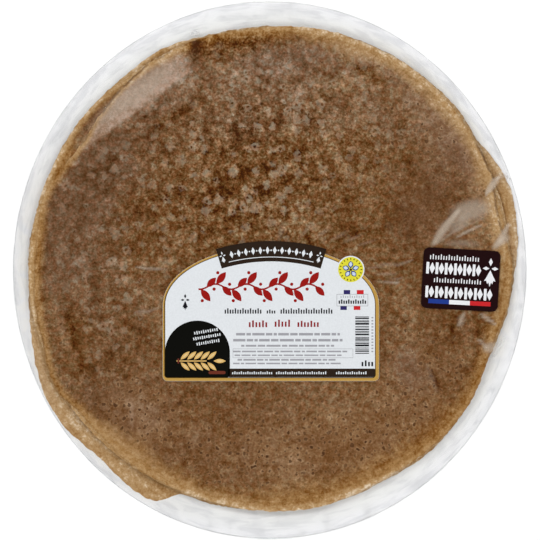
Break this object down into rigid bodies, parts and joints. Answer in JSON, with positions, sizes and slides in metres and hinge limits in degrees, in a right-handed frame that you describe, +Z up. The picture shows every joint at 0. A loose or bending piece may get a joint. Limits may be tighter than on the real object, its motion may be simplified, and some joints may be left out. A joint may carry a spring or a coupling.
{
  "type": "pack of buckwheat galettes",
  "caption": "Flat film-wrapped pack of large round buckwheat galettes stacked on a white oval card, with an arched front label and a small side sticker.",
  "frame": {"origin": "on the table, under the middle of the card", "axes": "+Z up out of the shown face, +Y towards the top of the front label, +X towards its right side"},
  "size_m": [0.3526, 0.369, 0.0102],
  "materials": {
    "white_card": "matte",
    "baked_buckwheat": "matte",
    "clear_film": "gloss",
    "label_paper": "satin",
    "sticker_paper": "satin"
  },
  "bodies": {
    "root": {"card_disc": "white_card", "galette_1": "baked_buckwheat", "galette_2": "baked_buckwheat", "galette_3": "baked_buckwheat", "galette_4": "baked_buckwheat", "galette_5": "baked_buckwheat", "galette_6": "baked_buckwheat", "clear_film": "clear_film", "front_label": "label_paper", "side_sticker": "sticker_paper"}
  },
  "joints": []
}
